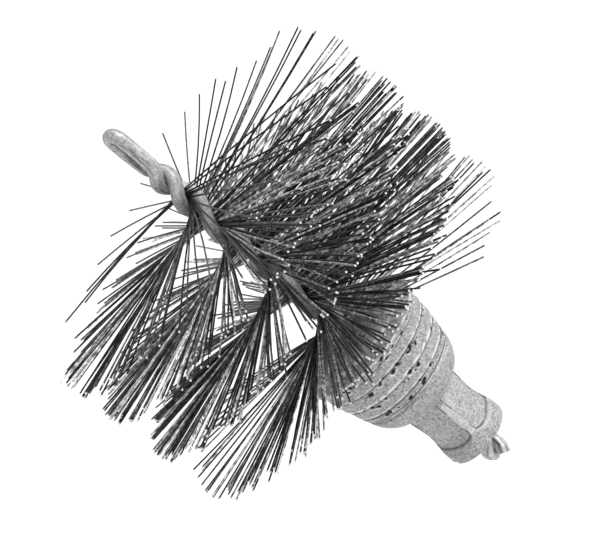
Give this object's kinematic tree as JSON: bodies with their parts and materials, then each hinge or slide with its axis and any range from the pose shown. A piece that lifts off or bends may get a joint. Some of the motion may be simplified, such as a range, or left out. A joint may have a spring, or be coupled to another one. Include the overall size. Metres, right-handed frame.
{
  "type": "drain auger brush",
  "caption": "Round wire brush for a drain cleaning cable: twisted wire stem with a small eye, stiff bristles in a double screw, and a cast bell coupling with wrench flats.",
  "frame": {"origin": "centre of the coupling's end face, where the drain cable holds the brush", "axes": "+Z along the stem, from the coupling to the eye; the two strands lie side by side along X at a height of 55.2 mm"},
  "size_m": [0.1032, 0.1034, 0.1287],
  "materials": {
    "stem_wire": "drawn steel wire, dull, with fine lengthwise marks",
    "coupling": "cast, light grey, with small pits and turned edges",
    "bristle": "dark tempered spring steel with bright edges and cut ends"
  },
  "bodies": {
    "root": {"stem_wire": "stem_wire", "coupling": "coupling", "bristle_tuft_01": "bristle", "bristle_tuft_02": "bristle", "bristle_tuft_03": "bristle", "bristle_tuft_04": "bristle", "bristle_tuft_05": "bristle", "bristle_tuft_06": "bristle", "bristle_tuft_07": "bristle", "bristle_tuft_08": "bristle", "bristle_tuft_09": "bristle", "bristle_tuft_10": "bristle", "bristle_tuft_11": "bristle", "bristle_tuft_12": "bristle", "bristle_tuft_13": "bristle", "bristle_tuft_14": "bristle", "bristle_tuft_15": "bristle", "bristle_tuft_16": "bristle", "bristle_tuft_17": "bristle", "bristle_tuft_18": "bristle"}
  },
  "joints": []
}
